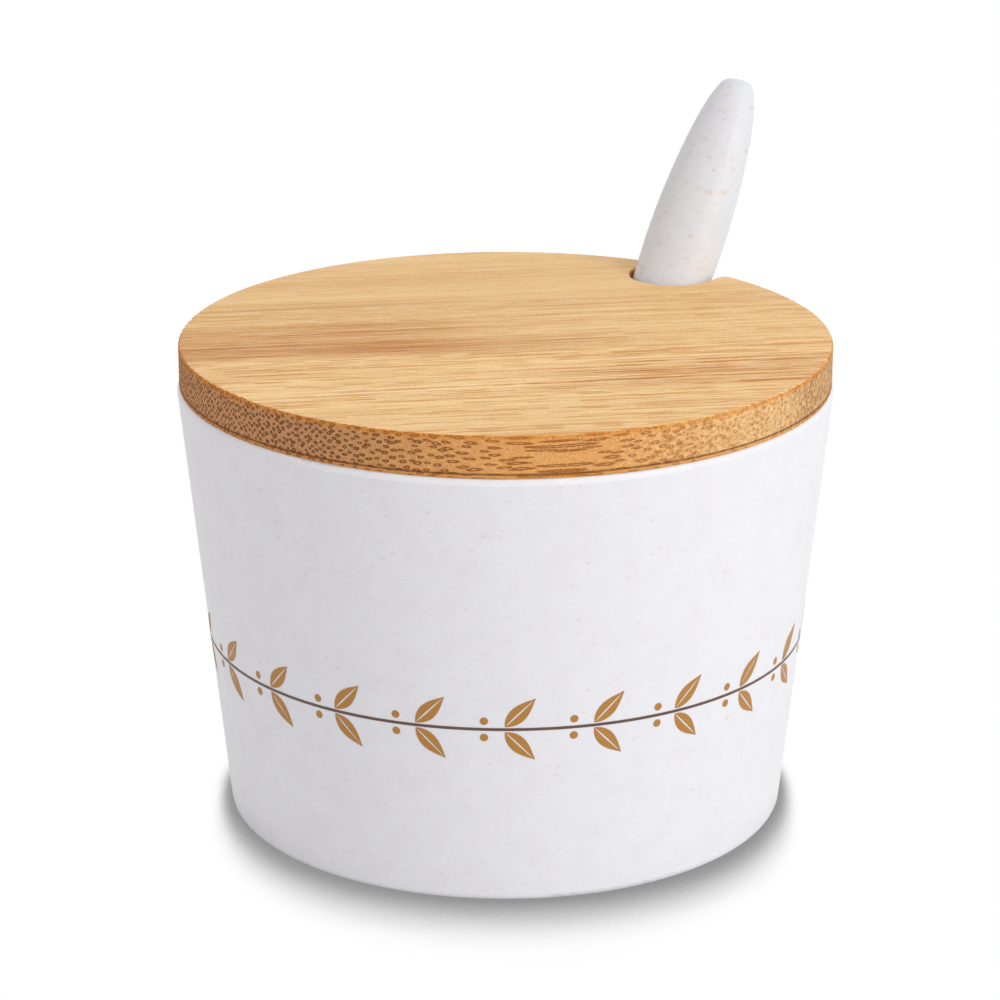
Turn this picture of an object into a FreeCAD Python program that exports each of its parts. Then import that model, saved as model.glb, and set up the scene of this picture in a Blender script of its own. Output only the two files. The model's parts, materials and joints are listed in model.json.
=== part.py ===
import FreeCAD, Part
import math
import os
import Sketcher

# A honey dish: a tapered bowl, a lift-off lid glued up from wooden strips, and a spoon that leans out.
# Millimetres, +Z up. The origin is the middle of the foot, and +Y points at the spoon slot, at the back.

# Driving sizes, in millimetres and degrees
SIZES = [
    # bowl
    ("rim_diameter", "100.8"),
    ("base_diameter", "86.6"),
    ("bowl_height", "68.4"),
    ("bowl_wall", "2.3"),
    ("floor_thickness", "3.6"),
    ("foot_width", "5"),
    ("foot_recess", "0.8"),
    ("base_round", "1.2"),
    ("floor_round", "8"),
    ("rim_outer_round", "1"),
    ("rim_inner_round", "0.6"),
    # lid
    ("lid_inset", "0.4"),
    ("top_ply_thickness", "5.8"),
    ("lip_thickness", "0.55"),
    ("plug_depth", "3.8"),
    ("plug_clearance", "0.5"),
    ("plug_chamfer", "0.8"),
    ("lid_edge_round", "0.4"),
    ("front_strip_width", "14.7"),
    ("joint_to_slot", "2.6"),
    ("grain_angle", "45.5"),
    # spoon slot in the lid
    ("slot_clearance", "0.35"),
    ("slot_corner_round", "6.2"),
    ("slot_mouth_round", "1.5"),
    # spoon
    ("spoon_lean", "32.4"),
    ("spoon_clearance", "0.3"),
    ("scoop_length", "40"),
    ("scoop_width", "27"),
    ("scoop_depth", "9"),
    ("scoop_wall", "2"),
    ("scoop_rim_lift", "1"),
    ("scoop_rim_radius", "55"),
    ("scoop_rim_round", "0.6"),
    ("scoop_tip_round", "1.6"),
    ("neck_length", "12"),
    ("neck_width", "8.4"),
    ("neck_thickness", "6.6"),
    ("handle_length", "64.3"),
    ("handle_width", "13.2"),
    ("handle_thickness", "10.8"),
    ("handle_end_round", "1.8"),
    # every cut runs past its solid by this much
    ("overrun", "4"),
]

# How the scoop swells from its tip: place along its length, then width and thickness
SCOOP_SHARES = [
    (0.00, 0.22, 0.24),
    (0.07, 0.54, 0.54),
    (0.22, 0.83, 0.83),
    (0.50, 1.00, 1.00),
    (0.78, 0.84, 0.87),
    (1.00, 0.50, 0.60),
]

# How the handle swells from the neck and closes at its end: place along its length, then size across
HANDLE_SHARES = [
    (0.14, 0.71),
    (0.28, 0.84),
    (0.44, 0.965),
    (0.60, 1.00),
    (0.79, 0.87),
    (0.91, 0.68),
    (1.00, 0.36),
]

# The rounding of the handle's end takes up to this much of the end's half thickness
END_ROUND_SHARE = 0.95

# The rounding of the slot's inner end takes up to this much of the slot's half width
SLOT_ROUND_SHARE = 0.95

# Each ply of the lid is this many strips
STRIP_COUNT = 4

# The lower ply's joints lie this share of a strip behind the upper ply's
STAGGER_SHARE = 0.5

# Two places closer than this are the same place
SAME_PLACE = 1e-6

# Places worked out from the driving sizes
RIM_RADIUS = "sizes.rim_diameter / 2"
BASE_RADIUS = "sizes.base_diameter / 2"
TAPER = "(sizes.rim_diameter - sizes.base_diameter) / 2 / sizes.bowl_height"
INNER_RIM_RADIUS = f"({RIM_RADIUS} - sizes.bowl_wall)"
INNER_FLOOR_RADIUS = f"{BASE_RADIUS} + {TAPER} * sizes.floor_thickness - sizes.bowl_wall"
LID_RADIUS = f"({RIM_RADIUS} - sizes.lid_inset)"
LIP_TOP = "(sizes.bowl_height + sizes.lip_thickness)"
LID_TOP = f"({LIP_TOP} + sizes.top_ply_thickness)"
PLUG_BOTTOM = "(sizes.bowl_height - sizes.plug_depth)"
PLUG_RADIUS = f"({INNER_RIM_RADIUS} - {TAPER} * sizes.plug_depth - sizes.plug_clearance)"
HANDLE_HALF_ACROSS = "sizes.handle_thickness / 2 / cos(sizes.spoon_lean)"
SPOON_GAP_ACROSS = "sizes.spoon_clearance / cos(sizes.spoon_lean)"
SLOT_GAP_ACROSS = "sizes.slot_clearance / cos(sizes.spoon_lean)"
SLOT_HALF = "(sizes.handle_width / 2 + sizes.slot_clearance)"
SPOON_AT_RIM = f"({INNER_RIM_RADIUS} - {HANDLE_HALF_ACROSS} - {SPOON_GAP_ACROSS})"
SCOOP_HALF = "sizes.scoop_length / 2"
SCOOP_TIP_HALF = f"{SCOOP_SHARES[0][2]} * sizes.scoop_depth"
SCOOP_TIP_DROP = f"{SCOOP_TIP_HALF} * sin(sizes.spoon_lean)"
SPOON_TIP_HEIGHT = f"(sizes.floor_thickness + sizes.spoon_clearance + {SCOOP_TIP_DROP})"
NECK_PLACE = "(sizes.scoop_length + sizes.neck_length)"
HANDLE_END_HALF = f"{HANDLE_SHARES[-1][1]} * sizes.handle_thickness / 2"


def spoon_axis_at(height):
    """How far back the middle of the spoon's handle lies at a height."""
    return f"{SPOON_AT_RIM} + ({height} - sizes.bowl_height) * tan(sizes.spoon_lean)"


def slot_end_at(height):
    """How far back the slot's inner end lies at a height: it slants with the spoon."""
    return f"{spoon_axis_at(height)} - {HANDLE_HALF_ACROSS} - {SLOT_GAP_ACROSS}"


def make_sheet(doc):
    """Put every driving size in the sheet under its name."""
    sheet = doc.addObject("Spreadsheet::Sheet", "sizes")
    for row, (name, text) in enumerate(SIZES, start=1):
        sheet.set(f"A{row}", name)
        sheet.set(f"B{row}", text)
        sheet.setAlias(f"B{row}", name)
    doc.recompute()
    return sheet


def bind(item, **expressions):
    """Tie properties of an object to the sheet."""
    for name, text in expressions.items():
        item.setExpression(name, text)


def attach(feature, body, role, offset=("0", "0", "0")):
    """Lay a sketch or a primitive on an origin plane of its body, moved along that plane's axes."""
    plane = next(item for item in body.Origin.OriginFeatures if item.Role == role)
    feature.AttachmentSupport = [(plane, "")]
    feature.MapMode = "FlatFace"
    for axis, text in zip("xyz", offset):
        if text != "0":
            feature.setExpression(f"AttachmentOffset.Base.{axis}", text)


def fix_place(sketch, line, across, up):
    """Tie a line's start to a place in its sketch; a place on an axis is written as 0."""
    start = sketch.Geometry[line].StartPoint
    ties = [("DistanceX", -2, start.x, across), ("DistanceY", -1, start.y, up)]
    for direction, axis, guess, text in ties:
        if text == "0":
            sketch.addConstraint(Sketcher.Constraint("PointOnObject", line, 1, axis))
        else:
            index = sketch.addConstraint(Sketcher.Constraint(direction, -1, 1, line, 1, guess))
            sketch.setExpression(f"Constraints[{index}]", text)


def outline(body, role, name, places):
    """Draw a closed outline of straight lines through places given as expressions."""
    sketch = body.newObject("Sketcher::SketchObject", name)
    attach(sketch, body, role)
    count = len(places)
    turns = [2 * math.pi * step / count for step in range(count)]
    corners = [FreeCAD.Vector(math.cos(turn), math.sin(turn), 0) for turn in turns]
    for step, corner in enumerate(corners):
        sketch.addGeometry(Part.LineSegment(corner, corners[(step + 1) % count]))
    for step in range(count):
        sketch.addConstraint(Sketcher.Constraint("Coincident", step, 2, (step + 1) % count, 1))
    for step, (across, up) in enumerate(places):
        fix_place(sketch, step, across, up)
    return sketch


def circle(body, name, height, radius):
    """Draw a circle about the body's Z axis."""
    sketch = body.newObject("Sketcher::SketchObject", name)
    attach(sketch, body, "XY_Plane", ("0", "0", height))
    sketch.addGeometry(Part.Circle())
    sketch.addConstraint(Sketcher.Constraint("Coincident", 0, 3, -1, 1))
    index = sketch.addConstraint(Sketcher.Constraint("Radius", 0, 1))
    sketch.setExpression(f"Constraints[{index}]", radius)
    return sketch


def oval(doc, name, place, width, thickness):
    """Draw an ellipse across the Z axis, wide along X."""
    section = doc.addObject("Part::Ellipse", name)
    bind(section, MajorRadius=f"{width} / 2", MinorRadius=f"{thickness} / 2")
    section.setExpression("Placement.Base.z", place)
    return section


def edge_names(shape, wanted):
    """Name the edges of a shape that pass a test."""
    return [f"Edge{index}" for index, edge in enumerate(shape.Edges, start=1) if wanted(edge)]


def level_face_name(shape, choose):
    """Name the highest or lowest of a shape's level flat faces."""
    heights = {}
    for index, face in enumerate(shape.Faces, start=1):
        if face.Surface.TypeId == "Part::GeomPlane" and face.BoundBox.ZLength < SAME_PLACE:
            heights[f"Face{index}"] = face.BoundBox.ZMin
    return choose(heights, key=heights.get)


def flat_end_edges(shape, choose):
    """Name the edges round a shape's highest or lowest level flat face."""
    end = shape.getElement(level_face_name(shape, choose))
    return edge_names(shape, lambda edge: any(edge.isSame(other) for other in end.Edges))


def ring_names(shape, height):
    """Name the circles of a shape at a height, from the smallest to the largest."""
    def at_height(edge):
        return edge.Curve.TypeId == "Part::GeomCircle" and abs(edge.Curve.Center.z - height) < SAME_PLACE
    return sorted(edge_names(shape, at_height), key=lambda name: shape.getElement(name).Curve.Radius)


def slot_edge_names(shape, direction):
    """Name the straight edges in the spoon slot that run along a direction."""
    def in_slot(edge):
        if edge.Curve.TypeId != "Part::GeomLine" or len(shape.ancestorsOfType(edge, Part.Face)) < 2:
            return False
        return edge.Curve.Direction.cross(direction).Length < SAME_PLACE
    return edge_names(shape, in_slot)


def finish_edges(body, kind, name, names, **expressions):
    """Round or bevel named edges of a body's newest feature."""
    body.Document.recompute()
    base = body.Tip
    feature = body.newObject(f"PartDesign::{kind}", name)
    feature.Base = (base, names)
    bind(feature, **expressions)
    body.Document.recompute()
    return feature


def make_bowl(doc):
    """Turn the bowl's wall, floor and foot in one profile, then round its edges."""
    body = doc.addObject("PartDesign::Body", "bowl")
    foot_inner_radius = f"{BASE_RADIUS} - sizes.foot_width"
    profile = outline(body, "XZ_Plane", "bowl_profile", [
        ("0", "sizes.foot_recess"),
        (foot_inner_radius, "sizes.foot_recess"),
        (foot_inner_radius, "0"),
        (BASE_RADIUS, "0"),
        (RIM_RADIUS, "sizes.bowl_height"),
        (INNER_RIM_RADIUS, "sizes.bowl_height"),
        (INNER_FLOOR_RADIUS, "sizes.floor_thickness"),
        ("0", "sizes.floor_thickness"),
    ])
    turned = body.newObject("PartDesign::Revolution", "bowl_turned")
    turned.Profile = profile
    turned.ReferenceAxis = (profile, ["V_Axis"])
    doc.recompute()
    sizes = doc.sizes
    base_edge = ring_names(body.Shape, 0)[-1]
    finish_edges(body, "Fillet", "bowl_base_round", [base_edge], Radius="sizes.base_round")
    rim_edge = ring_names(body.Shape, sizes.bowl_height)[-1]
    finish_edges(body, "Fillet", "bowl_rim_outer_round", [rim_edge], Radius="sizes.rim_outer_round")
    rim_edge = ring_names(body.Shape, sizes.bowl_height)[0]
    finish_edges(body, "Fillet", "bowl_rim_inner_round", [rim_edge], Radius="sizes.rim_inner_round")
    floor_edge = ring_names(body.Shape, sizes.floor_thickness)[-1]
    finish_edges(body, "Fillet", "bowl_floor_round", [floor_edge], Radius="sizes.floor_round")
    return body


def disc(body, name, height, radius, thickness):
    """Add a round plate that rises from a height."""
    plate = body.newObject("PartDesign::Pad", name)
    plate.Profile = circle(body, f"{name}_circle", height, radius)
    bind(plate, Length=thickness)
    body.Document.recompute()
    return plate


def cut_slot(body, name, bottom, top):
    """Cut the spoon slot through a ply: open at the edge, with an inner end that slants with the spoon."""
    low = f"({bottom} - sizes.overrun)"
    high = f"({top} + sizes.overrun)"
    outside = f"{LID_RADIUS} + sizes.overrun"
    slot = body.newObject("PartDesign::Pocket", name)
    slot.Profile = outline(body, "YZ_Plane", f"{name}_side", [
        (slot_end_at(low), low),
        (outside, low),
        (outside, high),
        (slot_end_at(high), high),
    ])
    slot.SideType = "Symmetric"
    bind(slot, Length=f"2 * {SLOT_HALF}")
    body.Document.recompute()
    lean = math.radians(body.Document.sizes.spoon_lean)
    slanted = slot_edge_names(body.Shape, FreeCAD.Vector(0, math.sin(lean), math.cos(lean)))
    corner_round = f"min(sizes.slot_corner_round; {SLOT_ROUND_SHARE} * {SLOT_HALF})"
    finish_edges(body, "Fillet", f"{name}_corners", slanted, Radius=corner_round)
    upright = slot_edge_names(body.Shape, FreeCAD.Vector(0, 0, 1))
    finish_edges(body, "Fillet", f"{name}_mouth", upright, Radius="sizes.slot_mouth_round")


def make_top_ply(doc):
    """Make the lid's upper ply as one disc, before it is parted into strips."""
    body = doc.addObject("PartDesign::Body", "top_ply")
    disc(body, "top_ply_disc", LIP_TOP, LID_RADIUS, "sizes.top_ply_thickness")
    cut_slot(body, "top_ply_slot", LIP_TOP, LID_TOP)
    top_face = level_face_name(body.Shape, max)
    finish_edges(body, "Fillet", "top_ply_edge", [top_face], Radius="sizes.lid_edge_round")
    return body


def make_base_ply(doc):
    """Make the lid's lower ply as one piece: a thin lip on the rim and a plug inside it."""
    body = doc.addObject("PartDesign::Body", "base_ply")
    disc(body, "plug_disc", PLUG_BOTTOM, PLUG_RADIUS, f"{LIP_TOP} - {PLUG_BOTTOM}")
    disc(body, "lip_disc", "sizes.bowl_height", LID_RADIUS, "sizes.lip_thickness")
    cut_slot(body, "base_ply_slot", PLUG_BOTTOM, LIP_TOP)
    bottom_face = level_face_name(body.Shape, min)
    finish_edges(body, "Chamfer", "plug_bevel", [bottom_face], Size="sizes.plug_chamfer")
    return body


def make_strips(doc, ply, label, bottom, top, shift_share):
    """Part a ply into the strips that it is glued up from; the end strips run out to the edge.

    The joints lie between one set in from the front edge and one in front of the slot's corner.
    """
    reach = f"({LID_RADIUS} + sizes.overrun)"
    slot_end = f"({slot_end_at(LID_TOP)})"
    slot_corner = f"{slot_end} * cos(sizes.grain_angle) - {SLOT_HALF} * sin(sizes.grain_angle)"
    front_joint = f"(sizes.front_strip_width - {LID_RADIUS})"
    back_joint = f"({slot_corner} - sizes.joint_to_slot)"
    width = f"({back_joint} - {front_joint}) / {STRIP_COUNT - 2}"
    joints = [f"({front_joint} + {step + shift_share} * {width})" for step in range(STRIP_COUNT - 1)]
    sides = [f"-{reach}", *joints, reach]
    strips = []
    for step in range(STRIP_COUNT):
        name = f"{label}_{step + 1}"
        front, back = sides[step], sides[step + 1]
        slab = doc.addObject("Part::Box", f"{name}_slab")
        bind(slab, Length=f"2 * {reach}", Width=f"{back} - {front}")
        bind(slab, Height=f"{top} - {bottom} + 2 * sizes.overrun")
        along = f"-{reach} * cos(sizes.grain_angle) - {front} * sin(sizes.grain_angle)"
        across = f"-{reach} * sin(sizes.grain_angle) + {front} * cos(sizes.grain_angle)"
        corner = f"vector({along}; {across}; {bottom} - sizes.overrun)"
        bind(slab, Placement=f"placement({corner}; rotation(vector(0; 0; 1); sizes.grain_angle))")
        strip = doc.addObject("Part::Common", name)
        strip.Base = ply
        strip.Tool = slab
        strips.append(strip)
    return strips


def spoon_form(doc):
    """Loft the spoon's whole outer form along the Z axis, from the scoop's tip to the handle's end."""
    sections = []
    for step, (place, width, thickness) in enumerate(SCOOP_SHARES, start=1):
        sections.append(oval(
            doc,
            f"scoop_section_{step}",
            f"{place} * sizes.scoop_length",
            f"{width} * sizes.scoop_width",
            f"{thickness} * 2 * sizes.scoop_depth",
        ))
    sections.append(oval(doc, "neck_section", NECK_PLACE, "sizes.neck_width", "sizes.neck_thickness"))
    for step, (place, size) in enumerate(HANDLE_SHARES, start=1):
        sections.append(oval(
            doc,
            f"handle_section_{step}",
            f"{NECK_PLACE} + {place} * sizes.handle_length",
            f"{size} * sizes.handle_width",
            f"{size} * sizes.handle_thickness",
        ))
    form = doc.addObject("Part::Loft", "spoon_form")
    form.Sections = sections
    form.Solid = True
    return form


def make_spoon(doc):
    """Open and hollow the scoop on its upper side, round its ends, and lean the spoon in the bowl."""
    body = doc.addObject("PartDesign::Body", "spoon")
    body.BaseFeature = spoon_form(doc)
    doc.recompute()
    opening = body.newObject("PartDesign::SubtractiveCylinder", "scoop_opening")
    side = "-sizes.scoop_width / 2 - sizes.overrun"
    attach(opening, body, "YZ_Plane", ("-sizes.scoop_rim_lift - sizes.scoop_rim_radius", SCOOP_HALF, side))
    bind(opening, Radius="sizes.scoop_rim_radius", Height="sizes.scoop_width + 2 * sizes.overrun")
    doc.recompute()
    hollow = body.newObject("PartDesign::SubtractiveEllipsoid", "scoop_hollow")
    attach(hollow, body, "XY_Plane", ("0", "0", SCOOP_HALF))
    bind(hollow, Radius1=f"{SCOOP_HALF} - sizes.scoop_wall")
    bind(hollow, Radius2="sizes.scoop_width / 2 - sizes.scoop_wall")
    bind(hollow, Radius3="sizes.scoop_depth - sizes.scoop_wall")
    doc.recompute()
    rim = [face for face in body.Shape.Faces if face.Surface.TypeId == "Part::GeomCylinder"]
    rim_lines = [line for face in rim for line in face.Edges]
    rim_edges = edge_names(body.Shape, lambda edge: any(edge.isSame(line) for line in rim_lines))
    finish_edges(body, "Fillet", "scoop_rim_rounding", rim_edges, Radius="sizes.scoop_rim_round")
    tip_edges = flat_end_edges(body.Shape, min)
    finish_edges(body, "Fillet", "scoop_tip_rounding", tip_edges, Radius="sizes.scoop_tip_round")
    end_edges = flat_end_edges(body.Shape, max)
    end_round = f"min(sizes.handle_end_round; {END_ROUND_SHARE} * {HANDLE_END_HALF})"
    finish_edges(body, "Fillet", "handle_end_rounding", end_edges, Radius=end_round)
    turn = "rotation(vector(1; 0; 0); -sizes.spoon_lean)"
    foot = f"vector(0; {spoon_axis_at(SPOON_TIP_HEIGHT)}; {SPOON_TIP_HEIGHT})"
    bind(body, Placement=f"placement({foot}; {turn})")
    return body


def check(doc, pieces):
    """Stop if any object failed, or if a piece isn't one sound solid."""
    failed = [item.Name for item in doc.Objects if "Invalid" in item.State or "Error" in item.State]
    if failed:
        raise RuntimeError(f"these objects failed: {failed}")
    for piece in pieces:
        shape = piece.Shape
        if shape.isNull() or not shape.isValid() or len(shape.Solids) != 1:
            raise RuntimeError(f"{piece.Label} is not one sound solid")


def main():
    """Build the dish and write each piece to its own file."""
    doc = FreeCAD.newDocument("honey_dish")
    make_sheet(doc)
    pieces = [make_bowl(doc), make_spoon(doc)]
    pieces += make_strips(doc, make_top_ply(doc), "lid_top_strip", LIP_TOP, LID_TOP, 0)
    pieces += make_strips(doc, make_base_ply(doc), "lid_base_strip", PLUG_BOTTOM, LIP_TOP, STAGGER_SHARE)
    doc.recompute()
    check(doc, pieces)
    os.makedirs("parts", exist_ok=True)
    for piece in pieces:
        piece.Shape.exportStep(os.path.join("parts", f"{piece.Label}.step"))
        print(piece.Label, f"{piece.Shape.Volume:.1f} mm3")


main()
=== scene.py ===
"""Dress the honey dish: wooden lid of glued strips, speckled bowl and spoon, leaf band and white stage."""
import json
import math

import bpy
from bpy.props import FloatProperty, FloatVectorProperty, IntProperty, PointerProperty
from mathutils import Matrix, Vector


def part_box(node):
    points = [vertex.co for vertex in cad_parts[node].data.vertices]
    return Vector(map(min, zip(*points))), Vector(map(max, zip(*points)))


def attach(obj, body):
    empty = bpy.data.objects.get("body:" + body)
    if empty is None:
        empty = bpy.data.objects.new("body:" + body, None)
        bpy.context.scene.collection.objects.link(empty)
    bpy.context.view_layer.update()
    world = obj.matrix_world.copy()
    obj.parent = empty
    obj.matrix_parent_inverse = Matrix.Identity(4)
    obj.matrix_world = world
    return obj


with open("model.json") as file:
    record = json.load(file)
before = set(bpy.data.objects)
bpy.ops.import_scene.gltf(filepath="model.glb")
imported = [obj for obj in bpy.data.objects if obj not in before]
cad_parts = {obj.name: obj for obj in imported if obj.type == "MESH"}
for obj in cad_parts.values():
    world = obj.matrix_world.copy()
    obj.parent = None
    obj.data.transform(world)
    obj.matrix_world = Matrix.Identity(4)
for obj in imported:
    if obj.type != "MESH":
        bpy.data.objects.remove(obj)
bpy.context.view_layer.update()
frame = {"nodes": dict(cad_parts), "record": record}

bl_info = {
    "name": "Honey dish",
    "version": (1, 0, 0),
    "blender": (4, 5, 0),
    "location": "3D View > Sidebar > Honey dish",
    "description": "Finishes, printed band and stage for a lidded honey dish with a spoon",
    "category": "Object",
}

MILLIMETRE = 0.001
PER_METRE = 1000.0
LID_STRIPS = sorted(frame["record"]["behaviour"]["bodies"]["lid"])


# Colours and property helpers

def tint(red, green, blue):
    """Turn a colour as it looks on a screen, 0 to 255, into the linear values that a shader takes."""
    def linear(value):
        share = value / 255
        return share / 12.92 if share <= 0.04045 else ((share + 0.055) / 1.055) ** 2.4
    return linear(red), linear(green), linear(blue)


def colour(name, description, *screen):
    """A colour property whose default is given as it looks on a screen."""
    return FloatVectorProperty(
        name=name, description=description, default=tint(*screen), subtype="COLOR", size=3, min=0, max=1)


def length(name, description, millimetres):
    """A length property whose default is given in millimetres."""
    return FloatProperty(
        name=name, description=description, default=millimetres * MILLIMETRE, unit="LENGTH", precision=5)


def angle(name, description, degrees):
    """An angle property whose default is given in degrees."""
    return FloatProperty(
        name=name, description=description, default=math.radians(degrees), subtype="ANGLE", unit="ROTATION")


def share(name, description, value):
    """A property from 0 to 1."""
    return FloatProperty(name=name, description=description, default=value, min=0, max=1, subtype="FACTOR")


def amount(name, description, value):
    """A plain number that isn't negative."""
    return FloatProperty(name=name, description=description, default=value, min=0)


def count(name, description, value):
    """A whole number of things that go round the dish."""
    return IntProperty(name=name, description=description, default=value, min=3)


# What a user would change

class BowlLook(bpy.types.PropertyGroup):
    """Finish of the bowl."""
    body: colour("Body", "Colour of the pressed ware", 236, 237, 238)
    cloud: colour("Cloud", "Faint cooler patches in the body", 232, 232, 234)
    fleck: colour("Fleck", "Plant fibres that show as tan flecks", 216, 186, 140)
    speck: colour("Speck", "Rare specks, darker than the flecks", 150, 136, 128)
    fleck_spacing: length("Fleck spacing", "Distance between the larger flecks", 1.8)
    fleck_radius: length("Fleck radius", "Size of the largest flecks", 0.66)
    fleck_strength: share("Fleck strength", "How far the flecks cover the body colour", 0.6)
    roughness: share("Roughness", "Gloss of the surface, from mirror to chalk", 0.46)


class SpoonLook(bpy.types.PropertyGroup):
    """Finish of the spoon."""
    body: colour("Body", "Colour of the pressed ware", 225, 228, 231)
    cloud: colour("Cloud", "Faint cooler patches in the body", 222, 224, 227)
    fleck: colour("Fleck", "Plant fibres that show as tan flecks", 214, 184, 144)
    speck: colour("Speck", "Rare specks, darker than the flecks", 150, 136, 128)
    fleck_spacing: length("Fleck spacing", "Distance between the larger flecks", 1.7)
    fleck_radius: length("Fleck radius", "Size of the largest flecks", 1.25)
    fleck_strength: share("Fleck strength", "How far the flecks cover the body colour", 0.65)
    roughness: share("Roughness", "Gloss of the surface, from mirror to chalk", 0.46)


class LidLook(bpy.types.PropertyGroup):
    """Finish of the lid's strips."""
    pale: colour("Pale wood", "Lightest wood on the top", 253, 214, 150)
    dark: colour("Dark wood", "Darkest wood on the top", 200, 126, 50)
    thread: colour("Thread", "Long dark fibres on the top", 158, 88, 36)
    glint: colour("Glint", "Short bright fibres on the top", 255, 236, 190)
    side_left: colour("Edge, brown end", "Edge of the lid at the brown end of the grain", 202, 146, 98)
    side_middle: colour("Edge, long grain", "Edge of the lid where it runs with the grain", 226, 166, 98)
    side_right: colour("Edge, pale end", "Edge of the lid at the pale end of the grain", 230, 188, 132)
    # Painted shade and greyish sheen where the edge turns away beyond its pale end, laid in streaks
    painted_edge_shade: colour("Frayed end", "Brown streaks in the edge beyond its pale end", 150, 108, 78)
    bundle_left: colour("Bundle, brown end", "Fibre bundles at the brown end of the grain", 84, 44, 20)
    bundle_middle: colour("Bundle, long grain", "Fibre bundles cut along their length", 168, 92, 32)
    bundle_right: colour("Bundle, pale end", "Fibre bundles at the pale end of the grain", 178, 116, 58)
    core: colour("Core", "Pale middle of each fibre bundle", 238, 200, 146)
    glow: colour("Glow", "Burnished line along the top edge", 222, 138, 40)
    glue: colour("Glue", "Glue line between the plies", 98, 54, 28)
    grain_angle: angle("Grain angle", "Turn of the grain from the X axis", 45.5)
    bundle_spacing: length("Bundle spacing", "Distance between fibre bundles", 0.74)
    roughness: share("Roughness", "Gloss of the surface, from mirror to chalk", 0.5)


class BandLook(bpy.types.PropertyGroup):
    """Printed leaf band round the bowl."""
    height: length("Height", "Height of the stem above the table", 28.7)
    leaf_pairs: count("Leaf pairs", "Pairs of leaves round the bowl", 22)
    leaf_length: length("Leaf length", "Length of one leaf", 6.4)
    leaf_width: length("Leaf width", "Widest part of one leaf", 2.5)
    leaf_lean: angle("Leaf lean", "Turn of a leaf from the stem", 46)
    vein_gap: length("Vein gap", "Bare line along the middle of a leaf", 0.26)
    stem_width: length("Stem width", "Width of the stem line", 0.46)
    berry_radius: length("Berry radius", "Radius of the dots between the leaves", 0.62)
    film: length("Film", "Thickness of the print", 0.03)
    leaf: colour("Leaf", "Gold of the leaves and dots", 178, 124, 46)
    stem: colour("Stem", "Brown of the stem line", 98, 70, 58)


class StageLook(bpy.types.PropertyGroup):
    """Camera, floor and light."""
    azimuth: angle("Azimuth", "Turn of the camera round the dish", 37)
    elevation: angle("Elevation", "Height of the camera above the horizon", 18.771)
    distance: length("Distance", "Distance from the camera to its aim", 588.42)
    aim_height: length("Aim height", "Height of the point that the camera looks at", 48.25)
    aim_side: length("Aim side", "Shift of that point to the camera's right", -0.85)
    lens: amount("Lens", "Focal length in millimetres on a 36 mm sensor", 136.35)
    floor: colour("Floor", "Colour of the floor", 236, 236, 238)
    front_shadow: length("Front shadow", "How far the contact shadow spreads in front of the dish", 38)
    side_shadow: length("Side shadow", "How far the contact shadow spreads beside the dish", 5.5)
    fill: colour("Fill", "Colour of the light from all round", 250, 247, 250)
    fill_strength: amount("Fill strength", "Strength of the light from all round", 0.75)
    key_turn: angle("Key turn", "Turn of the lamp to the right of the camera", 52)
    key_height: angle("Key height", "Height of the lamp above the horizon", 33)
    key_size: length("Key size", "Side of the lamp's square", 450)
    key_power: amount("Key power", "Power of the lamp, in watts", 3.2)


# Node trees

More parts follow.
